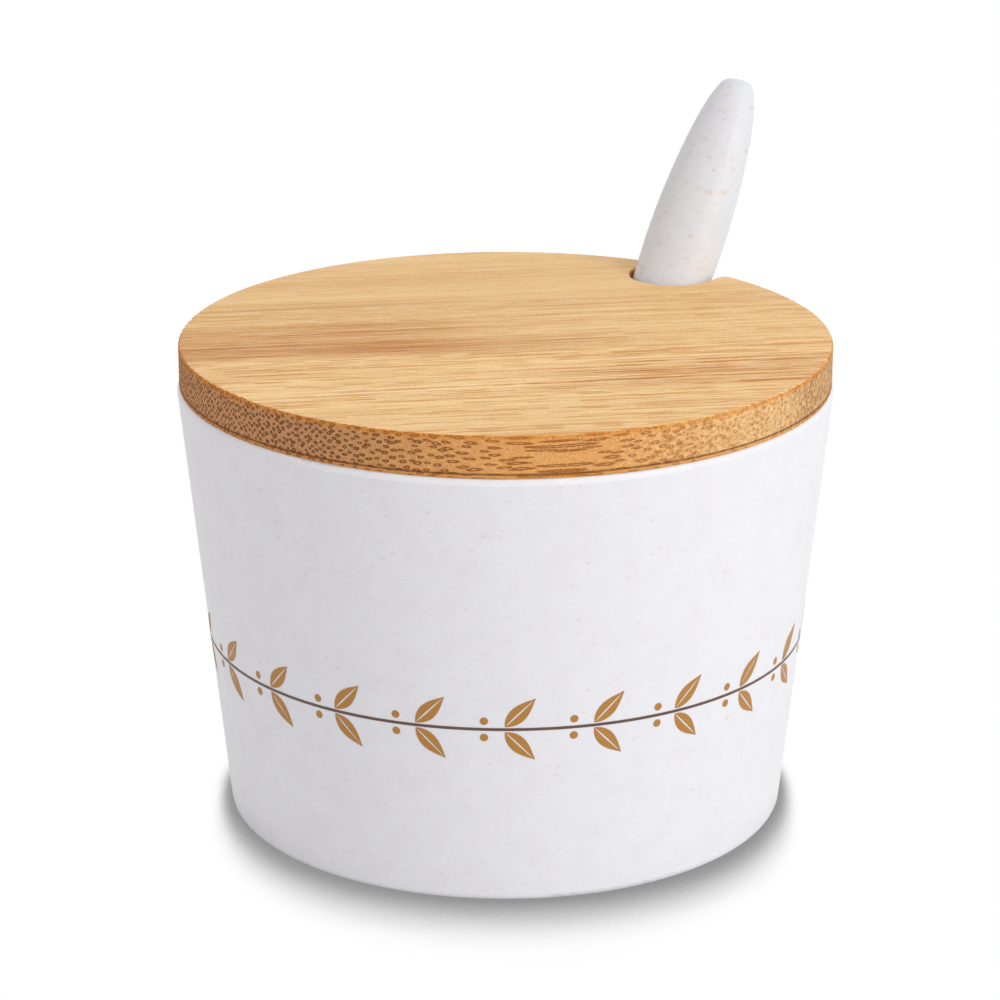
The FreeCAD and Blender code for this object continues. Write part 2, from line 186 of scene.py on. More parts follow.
class Graph:
    """Writes a node tree: each call adds a node and gives back the socket to read."""

    def __init__(self, tree):
        self.tree = tree

    def add(self, kind, **settings):
        """Add a node and set its options."""
        node = self.tree.nodes.new(kind)
        for name, value in settings.items():
            setattr(node, name, value)
        return node

    def feed(self, socket, value):
        """Link a socket to an input, or set the input to a constant."""
        if isinstance(value, bpy.types.NodeSocket):
            self.tree.links.new(value, socket)
        else:
            socket.default_value = value

    def sums(self, operation, *values):
        """Reckon with numbers."""
        node = self.add("ShaderNodeMath", operation=operation)
        for socket, value in zip(node.inputs, values):
            self.feed(socket, value)
        return node.outputs[0]

    def times(self, first, second):
        """Multiply two numbers."""
        return self.sums("MULTIPLY", first, second)

    def line(self, value, slope, start):
        """A point on a straight line: a value times a slope, plus a start."""
        return self.sums("MULTIPLY_ADD", value, slope, start)

    def rest(self, value):
        """What is left of 1."""
        return self.sums("SUBTRACT", 1.0, value)

    def apart(self, first, second):
        """How far two numbers lie apart."""
        return self.sums("ABSOLUTE", self.sums("SUBTRACT", first, second))

    def vectors(self, operation, first, second):
        """Reckon with vectors; the second is a number where a vector is scaled."""
        node = self.add("ShaderNodeVectorMath", operation=operation)
        self.feed(node.inputs[0], first)
        self.feed(node.inputs["Scale" if operation == "SCALE" else 1], second)
        return node.outputs["Vector"]

    def parts(self, vector):
        """Split a vector into its three numbers."""
        node = self.add("ShaderNodeSeparateXYZ")
        self.feed(node.inputs[0], vector)
        return node.outputs[:]

    def joined(self, across, along, up):
        """Make a vector from three numbers."""
        node = self.add("ShaderNodeCombineXYZ")
        for socket, value in zip(node.inputs, (across, along, up)):
            self.feed(socket, value)
        return node.outputs[0]

    def ease(self, value, start, end):
        """Go smoothly from 0 at a start to 1 at an end; the end may be the smaller of the two."""
        node = self.add("ShaderNodeMapRange", interpolation_type="SMOOTHSTEP")
        self.feed(node.inputs["Value"], value)
        self.feed(node.inputs["From Min"], start)
        self.feed(node.inputs["From Max"], end)
        return node.outputs["Result"]

    def mix(self, factor, first, second):
        """Mix two colours."""
        node = self.add("ShaderNodeMix", data_type="RGBA")
        self.feed(node.inputs["Factor"], factor)
        for socket, value in zip(node.inputs[6:8], (first, second)):
            self.feed(socket, value if isinstance(value, bpy.types.NodeSocket) else (*value, 1))
        return node.outputs[2]

    def noise(self, place, scale, detail=2.0, roughness=0.5, output="Fac"):
        """Soft random patches, as a number or as a colour."""
        node = self.add("ShaderNodeTexNoise")
        self.feed(node.inputs["Vector"], place)
        self.feed(node.inputs["Scale"], scale)
        self.feed(node.inputs["Detail"], detail)
        self.feed(node.inputs["Roughness"], roughness)
        return node.outputs[output]

    def cells(self, place, scale, randomness=1.0, dimensions="3D"):
        """Scattered points: the distance to the nearest one, and a random colour for each."""
        node = self.add("ShaderNodeTexVoronoi", voronoi_dimensions=dimensions)
        self.feed(node.inputs["Vector"], place)
        self.feed(node.inputs["Scale"], scale)
        self.feed(node.inputs["Randomness"], randomness)
        return node.outputs["Distance"], node.outputs["Color"]

    def millimetres(self):
        """Where a point lies on the dish, in millimetres."""
        node = self.add("ShaderNodeTexCoord")
        return self.vectors("SCALE", node.outputs["Object"], PER_METRE)

    def facing(self):
        """Which way a surface faces, in the dish's own axes."""
        return self.add("ShaderNodeTexCoord").outputs["Normal"]

    def bump(self, height, strength, reach):
        """Tilt the shading by a height; reach is in millimetres."""
        node = self.add("ShaderNodeBump")
        self.feed(node.inputs["Height"], height)
        node.inputs["Strength"].default_value = strength
        node.inputs["Distance"].default_value = reach * MILLIMETRE
        return node.outputs["Normal"]


def new_finish(name):
    """Make a material, and give back its graph and its shader too."""
    material = bpy.data.materials.new(name)
    material.use_nodes = True
    tree = material.node_tree
    shader = next(node for node in tree.nodes if node.type == "BSDF_PRINCIPLED")
    return material, Graph(tree), shader


def cover(node, material):
    """Give a node of the frame its finish."""
    mesh = frame["nodes"][node].data
    mesh.materials.clear()
    mesh.materials.append(material)


# Pressed ware of the bowl and the spoon

WARE_SPECULAR = 0.35

# How many times wider than high a fleck is
FLECK_FLATNESS = 1.6

# Depth of the dimples, in millimetres
DIMPLE_DEPTH = 0.12

# Waves to a millimetre of the clouds, the fine grit and the dimples
CLOUD_WAVES = 0.22
GRIT_WAVES = 3.2
DIMPLE_WAVES = 1.1

# Spacing and radius of the other flecks, as shares of the large ones, and the shares of each kind that show
FINE_SPACING_SHARE = 0.42
FINE_RADIUS_SHARE = 0.55
SPECK_SPACING_SHARE = 3.2
SPECK_RADIUS_SHARE = 0.4
FINE_KEPT = 0.55
LARGE_KEPT = 0.5
SPECK_KEPT = 0.8


def flecks(graph, place, spacing, radius, kept):
    """Scattered soft flecks, wider than they are high; kept is the share of the points that show."""
    across, along, up = graph.parts(place)
    flat = graph.joined(across, along, graph.times(up, FLECK_FLATNESS))
    ragged = graph.noise(place, 1.4 / radius, 3.0)
    distance, chance = graph.cells(flat, 1 / spacing)
    draw, size, depth = graph.parts(chance)
    reach = graph.line(size, 0.7 * radius, 0.3 * radius)
    worn = graph.line(ragged, 0.9 * radius, -0.45 * radius)
    gap = graph.line(distance, spacing, worn)
    inside = graph.rest(graph.ease(gap, graph.times(reach, -0.3), reach))
    shown = graph.times(inside, graph.sums("LESS_THAN", draw, kept))
    return graph.times(shown, graph.line(depth, 0.75, 0.25))


def ware_finish(name, look):
    """Pale pressed ware: soft clouds, tan flecks, a few dark specks and a slightly dimpled skin."""
    material, graph, shader = new_finish(name)
    place = graph.millimetres()
    spacing = look.fleck_spacing * PER_METRE
    radius = look.fleck_radius * PER_METRE
    clouds = graph.ease(graph.noise(place, CLOUD_WAVES, 4.0, 0.65), 0.35, 0.75)
    body = graph.mix(clouds, look.body, look.cloud)
    grit = graph.noise(place, GRIT_WAVES, 3.0, 0.7)
    body = graph.mix(graph.times(graph.ease(grit, 0.46, 0.7), 0.9), body, look.cloud)
    fine = flecks(graph, place, FINE_SPACING_SHARE * spacing, FINE_RADIUS_SHARE * radius, FINE_KEPT)
    body = graph.mix(graph.times(fine, 0.4 * look.fleck_strength), body, look.fleck)
    large = flecks(graph, place, spacing, radius, LARGE_KEPT)
    body = graph.mix(graph.times(large, look.fleck_strength), body, look.fleck)
    specks = flecks(graph, place, SPECK_SPACING_SHARE * spacing, SPECK_RADIUS_SHARE * radius, SPECK_KEPT)
    body = graph.mix(graph.times(specks, 0.7), body, look.speck)
    graph.feed(shader.inputs["Base Color"], body)
    shader.inputs["Specular IOR Level"].default_value = WARE_SPECULAR
    graph.feed(shader.inputs["Roughness"], graph.line(grit, 0.14, look.roughness - 0.07))
    skin = graph.line(large, -0.4, graph.noise(place, DIMPLE_WAVES, 3.0))
    graph.feed(shader.inputs["Normal"], graph.bump(skin, 0.12, DIMPLE_DEPTH))
    return material


# Wooden strips of the lid

WOOD_SPECULAR = 0.1

# A strip's side beyond this share of the lid's reach is the lid's edge and no joint
JOINT_SHARE = 0.98

# Places along the grain where the edge changes, in millimetres from the lid's middle
MIDDLE_REACH = 4.0
END_REACH = 38.0
TORN_FROM = 2.0
TORN_FULL = 20.0
RINGS_FADED = 30.0
# Where the painted shade and greyish sheen on the edge beyond its pale end start and are full
EDGE_SHADE_FROM = 35.0
EDGE_SHADE_FULL = 41.0

# Length and width of the dark and the bright strokes, in millimetres
DARK_STROKE = (4.2, 0.36)
BRIGHT_STROKE = (3.0, 0.36)

# Waves to a millimetre along the grain, across it and up
ROW_WAVES = (0.008, 1.7, 1.7)
BAND_WAVES = (0.008, 0.2, 0.2)
THREAD_WAVES = (0.022, 2.0, 2.0)
PORE_WAVES = (2.2, 2.0, 2.0)
DRIFT_WAVES = (0.045, 0.14, 0.14)

# Waves to a millimetre of the sawn edge's patterns, along the dish's three axes
CRUMB_WAVES = (1.1, 1.1, 1.65)
# Streaks of the painted shade and greyish sheen beyond the pale end
EDGE_SHADE_WAVES = (2.2, 2.2, 1.32)

# Waves to a millimetre of patterns that are alike in all directions
BUNDLE_EDGE_WAVES = 3.4
SAWN_WAVES = 2.6
BURNISH_WAVES = 1.3
NICK_WAVES = 1.7

# How far the fibre bundles wander from a straight line, and the depth of their pits, in millimetres
DRIFT_REACH = (0.0, 1.7, 1.7)
PIT_DEPTH = 0.25

# Radius of a fibre bundle, in lattice steps: the least, and the most that chance adds
BUNDLE_LEAST = 0.2
BUNDLE_SPREAD = 0.12

# Depths below the lid's top edge, in millimetres
BURNISH_START = 2.3
BURNISH_WANDER = 2.4
BURNISH_FULL = 0.15
NICK_START = 0.9
NICK_FULL = 0.3

# Distances at which the glue lines fade out and are full, in millimetres
SEAM_ABOVE = (0.34, 0.06)
SEAM_BELOW = (0.2, 0.04)
JOINT_LINE = (0.16, 0.02)

# How a strip differs from the others: its tone, where its pattern starts, and how strong its dashes are
STRIP_TRAITS = {
    "lid_top_strip_1": {"tone": 1.0, "start": (3.1, 7.7, 1.3), "dash": 0.9},
    "lid_top_strip_2": {"tone": 1.03, "start": (61.4, 2.9, 5.2), "dash": 1.0},
    "lid_top_strip_3": {"tone": 0.98, "start": (23.8, 41.6, 9.4), "dash": 0.5},
    "lid_top_strip_4": {"tone": 0.97, "start": (88.2, 13.5, 3.7), "dash": 0.2},
    "lid_base_strip_1": {"tone": 0.92, "start": (14.9, 57.1, 6.6), "dash": 0.8},
    "lid_base_strip_2": {"tone": 0.97, "start": (45.3, 30.4, 2.2), "dash": 0.9},
    "lid_base_strip_3": {"tone": 0.94, "start": (72.6, 19.8, 8.1), "dash": 0.7},
    "lid_base_strip_4": {"tone": 0.98, "start": (35.7, 66.2, 4.5), "dash": 0.8},
}

# Darker stretches of wood: place and half reach along the grain, the same across it, and strength
STAINS = {
    "lid_top_strip_2": [(28.0, 34.0, -22.0, 9.5, 0.6)],
    "lid_top_strip_3": [(-36.0, 44.0, 3.0, 13.0, 0.75), (-4.0, 32.0, -4.6, 6.0, 0.5)],
    "lid_top_strip_4": [(-30.0, 40.0, 21.0, 2.6, 0.35)],
}


def across_grain(look):
    """The direction in the lid that crosses the grain."""
    return Vector((-math.sin(look.grain_angle), math.cos(look.grain_angle), 0))


def strip_sides(node, look):
    """Where a strip's two long sides lie across the grain, in millimetres."""
    direction = across_grain(look)
    places = [direction.dot(vertex.co) * PER_METRE for vertex in frame["nodes"][node].data.vertices]
    return min(places), max(places)


def strip_joints(node, look):
    """Where a strip meets its neighbours across the grain; the lid's outer edge is no joint."""
    edge = max(abs(place) for strip in LID_STRIPS for place in strip_sides(strip, look))
    return [place for place in strip_sides(node, look) if abs(place) < JOINT_SHARE * edge]


def grain_place(graph, look):
    """A point's place along the grain, across it and up, in millimetres."""
    turn = graph.add("ShaderNodeVectorRotate", rotation_type="Z_AXIS")
    graph.feed(turn.inputs["Vector"], graph.millimetres())
    turn.inputs["Angle"].default_value = -look.grain_angle
    return turn.outputs["Vector"]


def bundle_field(graph, grain, spacing, start):
    """Distance to the nearest fibre bundle, in lattice steps, and a random number for each bundle."""
    drift = graph.noise(graph.vectors("MULTIPLY", grain, DRIFT_WAVES), 1.0, 2.0, output="Color")
    moved = graph.vectors("ADD", grain, graph.vectors("MULTIPLY", drift, DRIFT_REACH))
    along, across, up = graph.parts(graph.vectors("ADD", moved, start))
    step = spacing * math.sqrt(2)
    first = graph.sums("DIVIDE", graph.sums("ADD", across, up), step)
    second = graph.sums("DIVIDE", graph.sums("SUBTRACT", across, up), step)
    distance, chance = graph.cells(graph.joined(first, second, 0.0), 1.0, 0.55, "2D")
    ragged = graph.noise(graph.millimetres(), BUNDLE_EDGE_WAVES, 2.0)
    worn = graph.line(ragged, 0.3, graph.sums("SUBTRACT", distance, 0.15))
    return worn, graph.parts(chance)[0]


def bundle_masks(graph, grain, spacing, start):
    """Masks of the dark sheath and the pale core of each bundle."""
    distance, chance = bundle_field(graph, grain, spacing, start)
    size = graph.line(chance, BUNDLE_SPREAD, BUNDLE_LEAST)
    inner = graph.ease(distance, graph.times(size, 0.1), graph.times(size, 0.6))
    outer = graph.ease(distance, graph.times(size, 0.85), graph.times(size, 1.35))
    sheath = graph.times(inner, graph.rest(outer))
    core = graph.rest(inner)
    return sheath, core


def strokes(graph, grain, size):
    """Crisp short strokes of random tone that run with the grain; size is their length and width."""
    along, across, up = graph.parts(grain)
    flat = graph.joined(graph.sums("DIVIDE", along, size[0]), graph.sums("DIVIDE", across, size[1]), 0.0)
    return graph.parts(graph.cells(flat, 1.0, 1.0, "2D")[1])[0]


def stretched(graph, place, waves, detail, roughness=0.6):
    """Noise with its own waves to a millimetre in each direction."""
    return graph.noise(graph.vectors("MULTIPLY", place, waves), 1.0, detail, roughness)


def rows_of_strokes(graph, place):
    """Dark strokes and bright strokes, each kept to its own rows."""
    rows = stretched(graph, place, ROW_WAVES, 2.0)
    dark = graph.ease(strokes(graph, place, DARK_STROKE), 0.3, 0.7)
    dark = graph.times(dark, graph.ease(rows, 0.42, 0.56))
    bright = graph.ease(strokes(graph, place, BRIGHT_STROKE), 0.5, 0.75)
    bright = graph.times(bright, graph.ease(rows, 0.46, 0.34))
    return dark, bright


def stain_mask(graph, grain, marks):
    """How far a point lies in the darker stretches of a strip."""
    along, across, up = graph.parts(grain)
    total = 0.0
    for along_mid, along_half, across_mid, across_half, strength in marks:
        far_along = graph.sums("DIVIDE", graph.apart(along, along_mid), along_half)
        far_across = graph.sums("DIVIDE", graph.apart(across, across_mid), across_half)
        inside = graph.times(graph.ease(far_along, 1.0, 0.25), graph.ease(far_across, 1.0, 0.35))
        total = graph.line(inside, strength, total)
    return total


def top_wood(graph, look, grain, traits, marks):
    """Colour of the lid's flat top, and the dark strokes in it."""
    dash = traits["dash"]
    place = graph.vectors("ADD", grain, traits["start"])
    dark, bright = rows_of_strokes(graph, place)
    bands = stretched(graph, place, BAND_WAVES, 2.0)
    threads = stretched(graph, place, THREAD_WAVES, 3.0)
    streaks = graph.ease(threads, 0.36, 0.64)
    stain = graph.times(stain_mask(graph, grain, marks), graph.line(streaks, 0.6, 0.55))
    depth = graph.line(graph.sums("SUBTRACT", bands, 0.5), 0.7, 0.17)
    depth = graph.line(graph.sums("SUBTRACT", streaks, 0.5), 0.06 + 0.15 * dash, depth)
    depth = graph.line(dark, 0.5 * dash, depth)
    depth = graph.line(stain, 0.62, depth)
    wood = graph.mix(graph.ease(depth, -0.15, 1.15), look.pale, look.dark)
    wood = graph.mix(graph.times(bright, 0.7 * dash), wood, look.glint)
    lines = graph.times(graph.ease(threads, 0.58, 0.66), graph.line(stain, 0.6, 0.08 * dash))
    wood = graph.mix(lines, wood, look.thread)
    pores = graph.line(stretched(graph, place, PORE_WAVES, 2.0), 0.4, 0.8 * traits["tone"])
    return graph.vectors("SCALE", wood, pores), dark


def along_tones(graph, grain, left, middle, right):
    """Go from one colour at the brown end of the grain by way of a second to a third at the pale end."""
    along = graph.parts(grain)[0]
    tone = graph.mix(graph.ease(along, -END_REACH, -MIDDLE_REACH), left, middle)
    return graph.mix(graph.ease(along, MIDDLE_REACH, END_REACH), tone, right)


def side_wood(graph, look, grain, traits):
    """Colour of the lid's sawn edge: rough grain, torn crumbs with painted highlights at the pale end, and
    painted shade, brown with a greyish sheen, in streaks beyond.
    """
    along = graph.parts(grain)[0]
    place = graph.millimetres()
    wood = along_tones(graph, grain, look.side_left, look.side_middle, look.side_right)
    torn = graph.ease(along, TORN_FROM, TORN_FULL)
    crumbs = stretched(graph, place, CRUMB_WAVES, 3.0, 0.7)
    dark = graph.times(graph.ease(crumbs, 0.54, 0.62), graph.times(torn, 0.75))
    wood = graph.mix(dark, wood, look.bundle_right)
    # Bright crumbs in the core's colour: painted highlights on the torn grain at the pale end
    bright = graph.times(graph.ease(crumbs, 0.44, 0.36), graph.times(torn, 0.8))
    wood = graph.mix(bright, wood, look.core)
    # Painted shade and greyish sheen where the edge turns away beyond its pale end, laid in streaks
    far = graph.ease(along, EDGE_SHADE_FROM, EDGE_SHADE_FULL)
    streaks = stretched(graph, place, EDGE_SHADE_WAVES, 3.0, 0.7)
    painted_edge_shade = graph.times(graph.ease(streaks, 0.42, 0.58), graph.times(far, 0.8))
    wood = graph.mix(painted_edge_shade, wood, look.painted_edge_shade)
    grit = graph.noise(place, SAWN_WAVES, 4.0, 0.75)
    rough = graph.line(graph.ease(grit, 0.3, 0.7), 0.4, 0.8 * traits["tone"])
    return graph.vectors("SCALE", wood, rough)


def edge_lines(graph, look, node, wood, side):
    """Add the burnished, nicked top edge and the glue line between the plies."""
    low, high = (corner.z * PER_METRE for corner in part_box(node))
    place = graph.millimetres()
    up = graph.parts(place)[2]
    ragged = graph.noise(place, BURNISH_WAVES, 3.0, 0.6)
    if node.startswith("lid_top"):
        start = graph.line(ragged, BURNISH_WANDER, high - BURNISH_START)
        burnish = graph.times(graph.ease(up, start, high - BURNISH_FULL), graph.ease(side, 0.02, 0.35))
        patchy = graph.line(graph.ease(ragged, 0.35, 0.62), 0.55, 0.3)
        wood = graph.mix(graph.times(burnish, patchy), wood, look.glow)
        nicks = graph.ease(graph.noise(place, NICK_WAVES, 2.0), 0.55, 0.64)
        nicks = graph.times(nicks, graph.ease(up, high - NICK_START, high - NICK_FULL))
        wood = graph.mix(graph.times(nicks, graph.times(side, 0.6)), wood, look.bundle_middle)
        seam = graph.ease(graph.apart(up, low), *SEAM_ABOVE)
    else:
        lip = graph.times(side, 0.35)
        wood = graph.mix(lip, wood, look.glow)
        seam = graph.ease(graph.apart(up, high), *SEAM_BELOW)
    seam = graph.times(seam, graph.line(ragged, 0.6, 0.42))
    return graph.mix(graph.times(seam, side), wood, look.glue)


def joint_lines(graph, look, node, grain, wood):
    """Add the fine dark line where a strip meets its neighbours."""
    across = graph.parts(grain)[1]
    for place in strip_joints(node, look):
        gap = graph.apart(across, place)
        wood = graph.mix(graph.times(graph.ease(gap, *JOINT_LINE), 0.25), wood, look.glue)
    return wood


def wood_finish(node, look):
    """Strip of grass wood: dashed grain on top, and ringed fibre bundles where the edge cuts them."""
    traits = STRIP_TRAITS[node]
    material, graph, shader = new_finish(f"{node}_wood")
    grain = grain_place(graph, look)
    side = graph.ease(graph.sums("ABSOLUTE", graph.parts(graph.facing())[2]), 0.97, 0.45)
    top, dashes = top_wood(graph, look, grain, traits, STAINS.get(node, []))
    wood = graph.mix(side, top, side_wood(graph, look, grain, traits))
    sheath, core = bundle_masks(graph, grain, look.bundle_spacing * PER_METRE, traits["start"])
    whole = graph.ease(graph.parts(grain)[0], RINGS_FADED, TORN_FROM)
    sheath = graph.times(sheath, graph.line(whole, 0.65, 0.35))
    dark = along_tones(graph, grain, look.bundle_left, look.bundle_middle, look.bundle_right)
    wood = graph.mix(graph.times(sheath, graph.line(side, 0.84, 0.05)), wood, dark)
    wood = graph.mix(graph.times(core, graph.times(side, 0.3)), wood, look.core)
    wood = joint_lines(graph, look, node, grain, wood)
    wood = edge_lines(graph, look, node, wood, side)
    graph.feed(shader.inputs["Base Color"], wood)
    shader.inputs["Specular IOR Level"].default_value = WOOD_SPECULAR
    dull = graph.line(side, 0.35, look.roughness - 0.1)
    graph.feed(shader.inputs["Roughness"], graph.line(dashes, 0.2, dull))
    pits = graph.times(sheath, graph.line(side, -0.8, -0.15))
    relief = graph.line(dashes, 0.3, pits)
    graph.feed(shader.inputs["Normal"], graph.bump(relief, 0.7, PIT_DEPTH))
    return material


# Printed leaf band

# Points of the print closer than this are merged, in metres
WELD_REACH = 0.002 * MILLIMETRE

# Points along and across the leaf's half and the stem, and sides of a dot
LEAF_GRID = (15, 4)
STEM_GRID = (361, 3)
BERRY_SIDES = 16

# Where a pair of leaves and a pair of dots stand, as shares of the step between pairs
LEAF_START_SHARE = 0.25
BERRY_START_SHARE = 0.02

# How far a leaf stands off the stem's middle, in stem widths, and a dot off that, in dot radii
LEAF_REACH_SHARE = 0.9
BERRY_REACH_SHARE = 1.5

# Below 1, the widest part of a leaf lies nearer its stalk than its tip
LEAF_POWER = 0.8

# Waves to a millimetre of the ink's grain and patches
INK_WAVES = 5.5
INK_PATCH_WAVES = 0.8

# Depth of the ink's grain, in millimetres
INK_DEPTH = 0.05

# The shares of the bowl's height below and above which its wall is read
LOW_SHARE = 0.06
HIGH_SHARE = 0.94


def print_finish(name, ink):
    """Printed ink: fine grain in its colour and a slightly uneven gloss."""
    material, graph, shader = new_finish(name)
    place = graph.millimetres()
    grain = graph.noise(place, INK_WAVES, 3.0, 0.7)
    patches = graph.noise(place, INK_PATCH_WAVES, 2.0)
    light = graph.line(grain, 0.34, graph.line(patches, 0.16, 0.75))
    graph.feed(shader.inputs["Base Color"], graph.vectors("SCALE", ink, light))
    graph.feed(shader.inputs["Roughness"], graph.line(grain, 0.2, 0.36))
    graph.feed(shader.inputs["Normal"], graph.bump(grain, 0.1, INK_DEPTH))
    return material


# Named inputs of the two trees, and those that only the leaves need
WALL_INPUTS = ["Wall radius", "Taper", "Height", "Film", "Stem width"]
LEAF_INPUTS = ["Pair Count", "Leaf length", "Leaf width", "Leaf lean", "Vein gap", "Berry radius"]


def new_tree(name, numbers):
    """Make a geometry tree with named number inputs, a material input and an output."""
    tree = bpy.data.node_groups.new(name, "GeometryNodeTree")
    tree.interface.new_socket("Geometry", in_out="INPUT", socket_type="NodeSocketGeometry")
    for label in numbers:
        kind = "NodeSocketInt" if label.endswith("Count") else "NodeSocketFloat"
        tree.interface.new_socket(label, in_out="INPUT", socket_type=kind)
    tree.interface.new_socket("Ink", in_out="INPUT", socket_type="NodeSocketMaterial")
    tree.interface.new_socket("Geometry", in_out="OUTPUT", socket_type="NodeSocketGeometry")
    graph = Graph(tree)
    given = graph.add("NodeGroupInput").outputs
    result = graph.add("NodeGroupOutput").inputs[0]
    return tree, graph, given, result


def shifted(graph, geometry, position):
    """Move every point of a geometry to a worked-out place."""
    node = graph.add("GeometryNodeSetPosition")
    graph.feed(node.inputs["Geometry"], geometry)
    graph.feed(node.inputs["Position"], position)
    return node.outputs[0]


def together(graph, *geometries):
    """Join geometries."""
    node = graph.add("GeometryNodeJoinGeometry")
    for geometry in reversed(geometries):
        graph.feed(node.inputs[0], geometry)
    return node.outputs[0]


def turned_over(graph, mesh):
    """Turn a mesh's faces to the other side."""
    node = graph.add("GeometryNodeFlipFaces")
    graph.feed(node.inputs["Mesh"], mesh)
    return node.outputs[0]


def welded(graph, mesh):
    """Merge points that lie on each other."""
    node = graph.add("GeometryNodeMergeByDistance")
    graph.feed(node.inputs["Geometry"], mesh)
    node.inputs["Distance"].default_value = WELD_REACH
    return node.outputs[0]


def unit_grid(graph, columns, rows):
    """A flat grid, with each point's shares along it and across it."""
    node = graph.add("GeometryNodeMeshGrid")
    for name, value in (("Size X", 1.0), ("Size Y", 1.0), ("Vertices X", columns), ("Vertices Y", rows)):
        node.inputs[name].default_value = value
    along, across, up = graph.parts(graph.add("GeometryNodeInputPosition").outputs[0])
    return node.outputs["Mesh"], graph.sums("ADD", along, 0.5), graph.sums("ADD", across, 0.5)


def wrapped(graph, flat, given):
    """Lay a flat print on the bowl's tapered wall, give it the film's thickness, and ink it."""
    along, across, up = graph.parts(graph.add("GeometryNodeInputPosition").outputs[0])
    turn = graph.sums("DIVIDE", along, given["Wall radius"])
    slope = graph.sums("SQRT", graph.line(given["Taper"], given["Taper"], 1.0))
    rise = graph.sums("DIVIDE", across, slope)
    radius = graph.line(rise, given["Taper"], given["Wall radius"])
    x = graph.times(radius, graph.sums("SINE", turn))
    y = graph.times(radius, graph.times(graph.sums("COSINE", turn), -1.0))
    z = graph.sums("ADD", rise, given["Height"])
    skin = welded(graph, shifted(graph, flat, graph.joined(x, y, z)))
    raised = graph.add("GeometryNodeExtrudeMesh", mode="FACES")
    graph.feed(raised.inputs["Mesh"], skin)
    graph.feed(raised.inputs["Offset Scale"], given["Film"])
    raised.inputs["Individual"].default_value = False
    closed = welded(graph, together(graph, raised.outputs["Mesh"], turned_over(graph, skin)))
    real = graph.add("GeometryNodeRealizeInstances")
    graph.feed(real.inputs[0], closed)
    inked = graph.add("GeometryNodeSetMaterial")
    graph.feed(inked.inputs["Geometry"], real.outputs[0])
    graph.feed(inked.inputs["Material"], given["Ink"])
    return inked.outputs[0]


def flat_leaf(graph, given):
    """One pointed leaf on its side, in two halves with a bare line between them."""
    grid, along, across = unit_grid(graph, *LEAF_GRID)
    swell = graph.sums("SINE", graph.times(graph.sums("POWER", along, LEAF_POWER), math.pi))
    half_gap = graph.times(given["Vein gap"], 0.5)
    half_width = graph.times(given["Leaf width"], 0.5)
    blade = graph.sums("SUBTRACT", half_width, half_gap)
    out = graph.times(graph.line(across, blade, half_gap), swell)
    half = shifted(graph, grid, graph.joined(graph.times(along, given["Leaf length"]), out, 0.0))
    mirror = graph.add("GeometryNodeTransform")
    graph.feed(mirror.inputs["Geometry"], half)
    mirror.inputs["Scale"].default_value = (1.0, -1.0, 1.0)
    return together(graph, half, turned_over(graph, mirror.outputs[0]))


def row_of_pairs(graph, given, shape, start, reach, lean):
    """Set a flat shape out in pairs along the stem; start is a share of the step between pairs."""
    points = graph.add("GeometryNodePoints")
    graph.feed(points.inputs["Count"], graph.times(given["Pair Count"], 2.0))
    index = graph.add("GeometryNodeInputIndex").outputs[0]
    pair = graph.sums("FLOOR", graph.sums("DIVIDE", index, 2.0))
    side = graph.line(graph.sums("MODULO", index, 2.0), -2.0, 1.0)
    round_wall = graph.times(given["Wall radius"], 2 * math.pi)
    step = graph.sums("DIVIDE", round_wall, given["Pair Count"])
    along = graph.times(graph.sums("ADD", pair, start), step)
    graph.feed(points.inputs["Position"], graph.joined(along, graph.times(side, reach), 0.0))
    placed = graph.add("GeometryNodeInstanceOnPoints")
    graph.feed(placed.inputs["Points"], points.outputs[0])
    graph.feed(placed.inputs["Instance"], shape)
    graph.feed(placed.inputs["Rotation"], graph.joined(0.0, 0.0, graph.times(side, lean)))
    real = graph.add("GeometryNodeRealizeInstances")
    graph.feed(real.inputs[0], placed.outputs[0])
    return real.outputs[0]


def leaf_tree():
    """Leaves in opposite pairs, with a pair of dots between them."""
    tree, graph, given, result = new_tree("leaf_band", WALL_INPUTS + LEAF_INPUTS)
    near = graph.times(given["Stem width"], LEAF_REACH_SHARE)
    leaf = flat_leaf(graph, given)
    leaves = row_of_pairs(graph, given, leaf, LEAF_START_SHARE, near, given["Leaf lean"])
    berry = graph.add("GeometryNodeMeshCircle", fill_type="TRIANGLE_FAN")
    berry.inputs["Vertices"].default_value = BERRY_SIDES
    graph.feed(berry.inputs["Radius"], given["Berry radius"])
    reach = graph.line(given["Berry radius"], BERRY_REACH_SHARE, near)
    berries = row_of_pairs(graph, given, berry.outputs[0], BERRY_START_SHARE, reach, 0.0)
    graph.feed(result, wrapped(graph, together(graph, leaves, berries), given))
    return tree


def stem_tree():
    """The stem: one thin line right round the bowl."""
    tree, graph, given, result = new_tree("stem_band", WALL_INPUTS)
    grid, along, across = unit_grid(graph, *STEM_GRID)
    round_wall = graph.times(given["Wall radius"], 2 * math.pi)
    out = graph.times(graph.sums("SUBTRACT", across, 0.5), given["Stem width"])
    line = shifted(graph, grid, graph.joined(graph.times(along, round_wall), out, 0.0))
    graph.feed(result, wrapped(graph, line, given))
    return tree


def grown_mesh(name, tree, values):
    """Run a geometry tree with the given inputs and keep its result as a plain mesh object."""
    host = bpy.data.objects.new(f"{name}_host", bpy.data.meshes.new(f"{name}_host"))
    bpy.context.scene.collection.objects.link(host)
    modifier = host.modifiers.new(name, "NODES")
    modifier.node_group = tree
    for item in tree.interface.items_tree:
        if item.in_out == "INPUT" and item.name in values:
            modifier[item.identifier] = values[item.name]
    seen = host.evaluated_get(bpy.context.evaluated_depsgraph_get())
    mesh = bpy.data.meshes.new_from_object(seen)
    bpy.data.objects.remove(host)
    if not mesh.polygons:
        raise RuntimeError(f"{name} came out empty")
    piece = bpy.data.objects.new(name, mesh)
    bpy.context.scene.collection.objects.link(piece)
    return piece


